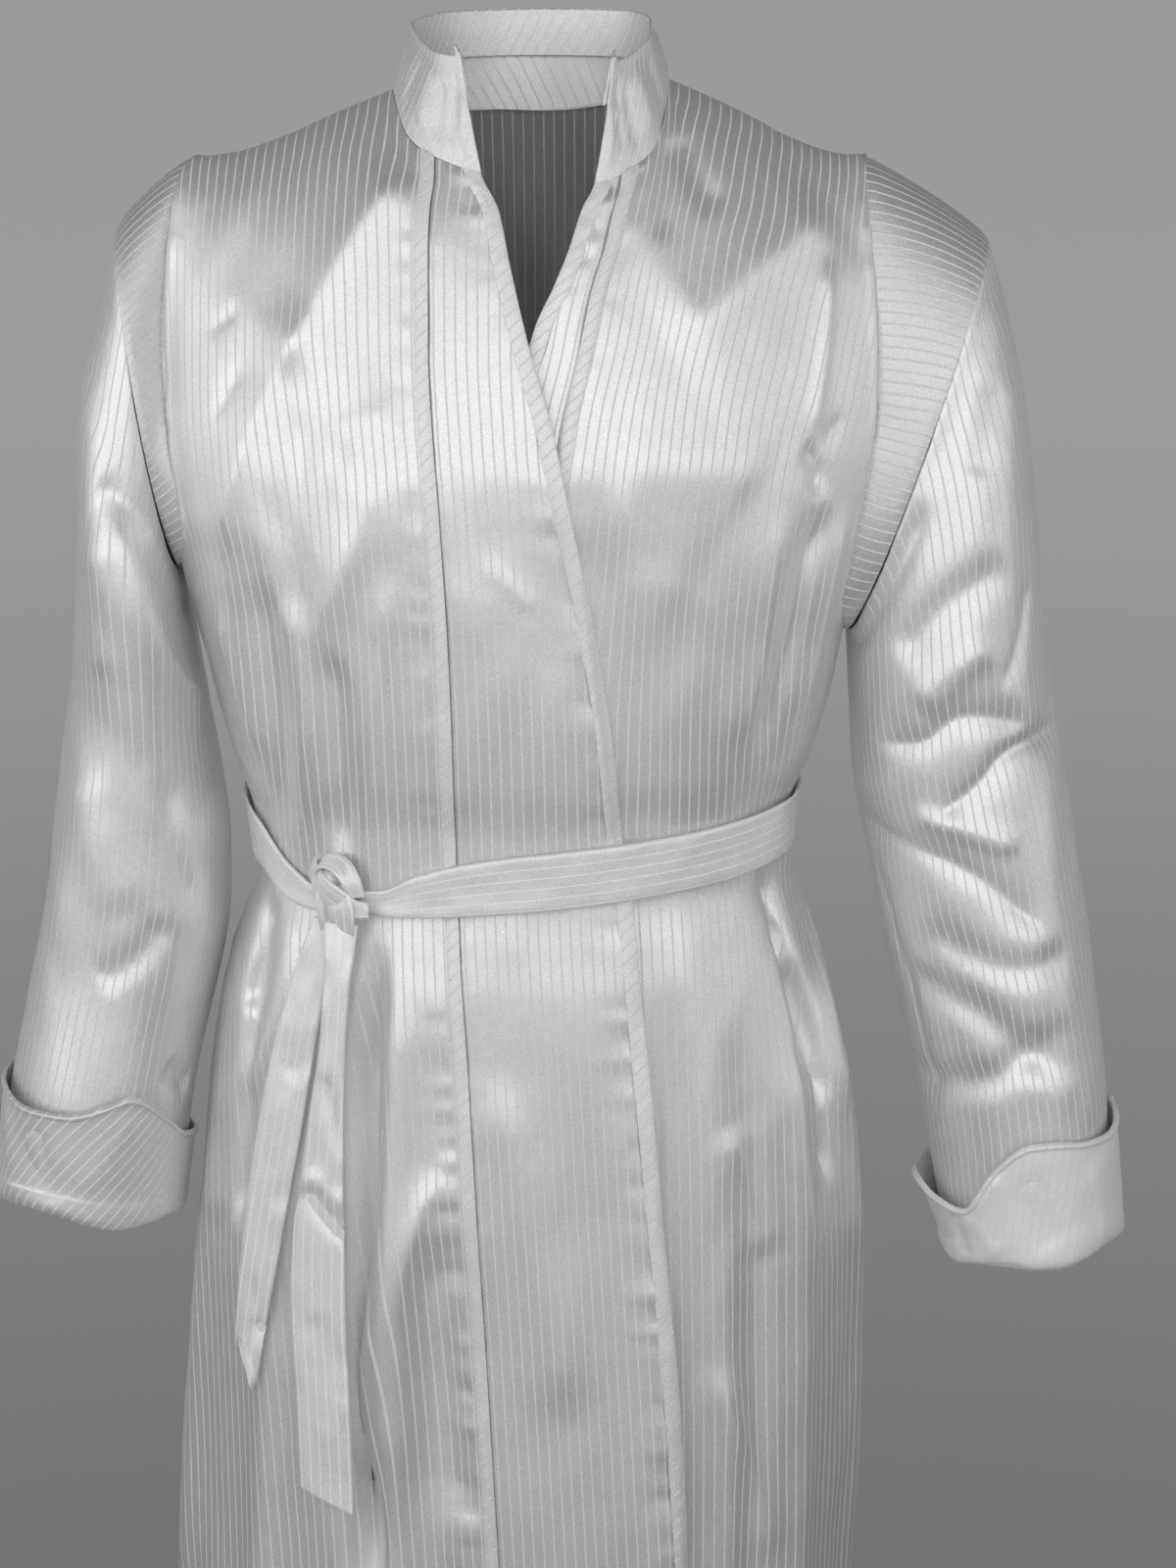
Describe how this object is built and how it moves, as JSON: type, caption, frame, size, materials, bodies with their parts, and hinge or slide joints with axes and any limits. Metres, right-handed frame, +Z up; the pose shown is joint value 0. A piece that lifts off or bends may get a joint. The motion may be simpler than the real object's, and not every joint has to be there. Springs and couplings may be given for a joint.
{
  "type": "kittel",
  "caption": "Long white robe of self-striped satin with a stand collar, lapped front, turned-back notched cuffs and a cloth belt knotted at the waist",
  "frame": {"origin": "where the shoulders hold the robe, at the base of the neck, midway between front and back", "axes": "+Z up along the wearer, the front faces -Y, +X is the wearer's left"},
  "size_m": [0.7045, 0.3244, 1.3071],
  "materials": {
    "robe_satin": "satin",
    "trim_satin": "satin",
    "crosswise_satin": "satin",
    "collar_cuff_satin": "satin",
    "belt_satin": "satin"
  },
  "bodies": {
    "root": {"front_right_band": "robe_satin", "front_right_panel": "robe_satin", "front_right_strip": "trim_satin", "front_right_edge": "trim_satin", "front_left_band": "robe_satin", "front_left_panel": "robe_satin", "front_left_strip": "trim_satin", "front_left_edge": "trim_satin", "back": "robe_satin", "armhole_band_right": "crosswise_satin", "armhole_band_left": "crosswise_satin", "sleeve_right": "robe_satin", "sleeve_left": "robe_satin", "cuff_right": "collar_cuff_satin", "cuff_left": "collar_cuff_satin", "collar": "collar_cuff_satin", "belt": "belt_satin", "belt_knot": "belt_satin", "belt_end_front": "belt_satin", "belt_end_back": "belt_satin"}
  },
  "joints": []
}
